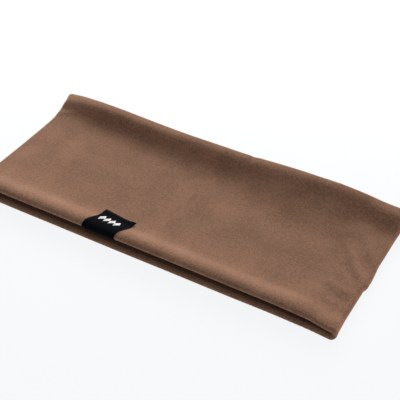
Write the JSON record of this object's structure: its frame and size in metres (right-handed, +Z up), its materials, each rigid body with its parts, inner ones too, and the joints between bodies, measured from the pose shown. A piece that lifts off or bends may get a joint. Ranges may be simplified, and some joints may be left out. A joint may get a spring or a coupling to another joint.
{
  "type": "headband",
  "caption": "Wide soft double-layer stretch headband, a closed fabric loop lying folded flat, with a small woven label folded over one long edge.",
  "frame": {"origin": "under the middle of the back wall, on the surface that the band lies on", "axes": "+X along the folded band, +Y across its width from the edge with the label to the edge that curls up, +Z up"},
  "size_m": [0.235, 0.1022, 0.0157],
  "materials": {
    "band_jersey": "matte",
    "lining_jersey": "matte",
    "sewing_thread": "matte",
    "label_tape": "satin",
    "label_yarn": "satin",
    "label_thread": "satin"
  },
  "bodies": {
    "back_wall": {"back_outer_ply": "band_jersey", "back_lining_ply": "lining_jersey", "left_fold_outer_ply": "band_jersey", "left_fold_lining_ply": "lining_jersey", "right_fold_outer_ply": "band_jersey", "right_fold_lining_ply": "lining_jersey", "back_near_seam_allowance": "lining_jersey", "back_far_seam_allowance": "lining_jersey", "back_near_overlock_thread": "sewing_thread", "back_far_overlock_thread": "sewing_thread", "fold_seam_allowances": "lining_jersey", "join_seam_allowance": "lining_jersey", "join_seam_thread": "sewing_thread", "closing_stitches": "sewing_thread"},
    "front_wall": {"front_outer_ply": "band_jersey", "front_lining_ply": "lining_jersey", "front_near_seam_allowance": "lining_jersey", "front_far_seam_allowance": "lining_jersey", "front_near_overlock_thread": "sewing_thread", "front_far_overlock_thread": "sewing_thread", "label_strip": "label_tape", "label_woven_mark": "label_yarn", "label_front_stitches": "label_thread", "label_back_stitches": "label_thread"}
  },
  "joints": [
    {"name": "loop_opening", "type": "slide", "parent": "back_wall", "child": "front_wall", "axis": [0, 0, 1], "range_m": [0, 0.04]}
  ]
}
